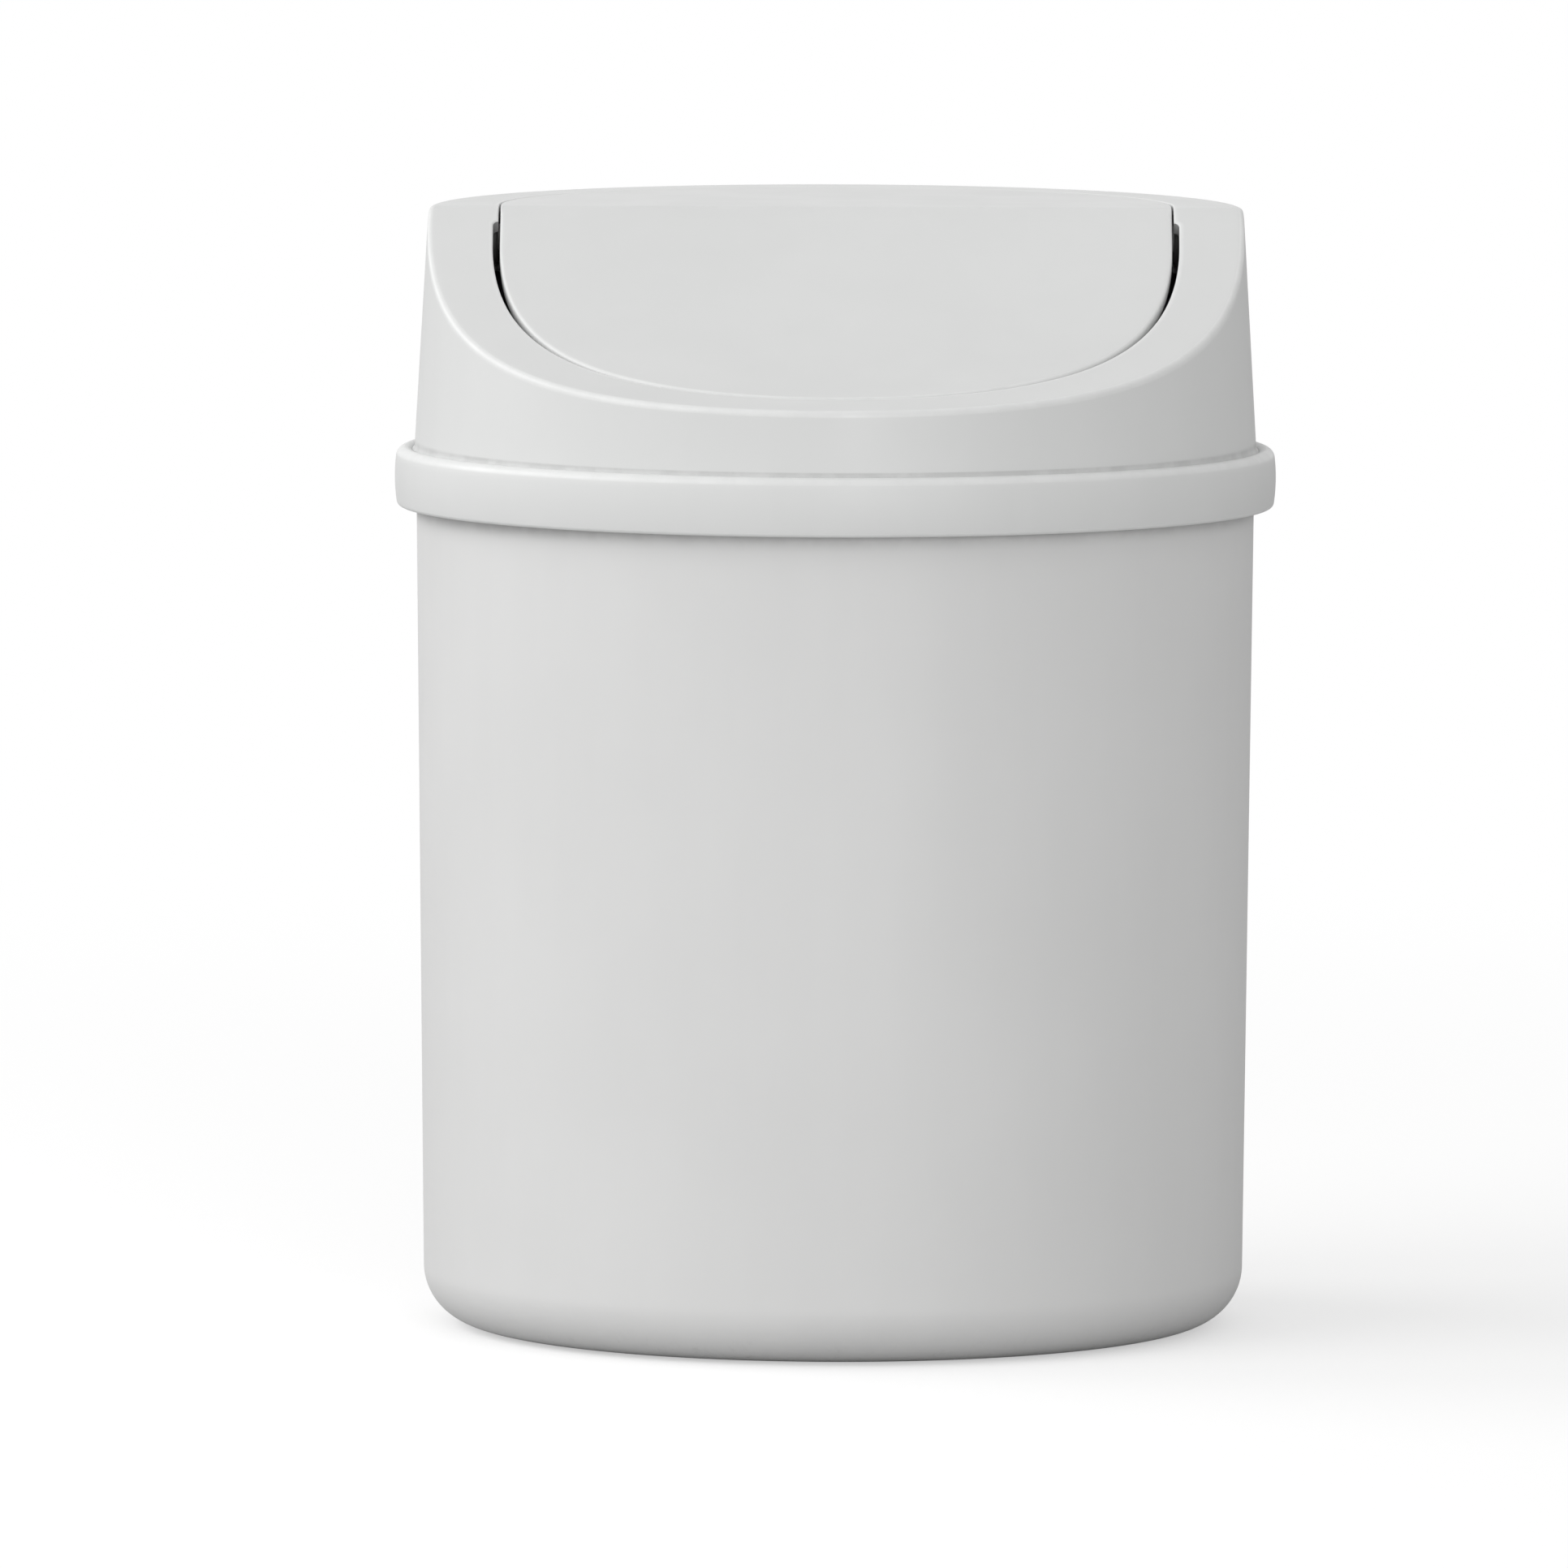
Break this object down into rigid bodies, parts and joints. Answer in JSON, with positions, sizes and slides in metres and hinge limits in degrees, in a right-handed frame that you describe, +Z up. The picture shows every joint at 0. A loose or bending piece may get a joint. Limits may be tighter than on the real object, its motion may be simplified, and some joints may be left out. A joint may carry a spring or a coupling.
{
  "type": "countertop trash can with swing lid",
  "caption": "Small round countertop bin: a moulded bucket, a hood cover that lifts off, and a counterweighted flap that swings in the hood's scooped front.",
  "frame": {"origin": "middle of the foot, on the surface that the bin stands on", "axes": "+Z up; -Y towards the low front of the hood; the flap's pivot runs along X"},
  "size_m": [0.13, 0.13, 0.165],
  "materials": {
    "bucket_shell": "satin moulded polypropylene, light grey",
    "cover_shell": "satin moulded polypropylene, light grey",
    "flap_shell": "satin moulded polypropylene, light grey",
    "weight_steel": "sheared and zinc-plated strip",
    "cap_shell": "satin moulded polypropylene, light grey"
  },
  "bodies": {
    "bin": {"bucket": "bucket_shell"},
    "cover": {"lid_cover": "cover_shell"},
    "flap": {"swing_flap": "flap_shell", "counterweight": "weight_steel", "counterweight_cap": "cap_shell"}
  },
  "joints": [
    {"name": "cover_lift", "type": "slide", "parent": "bin", "child": "cover", "axis": [0, 0, 1], "range_m": [0, 0.06]},
    {"name": "flap_swing", "type": "hinge", "parent": "cover", "child": "flap", "pos_m": [0, 0.0045, 0.1602], "axis": [1, 0, 0], "range_deg": [0, 75]}
  ]
}
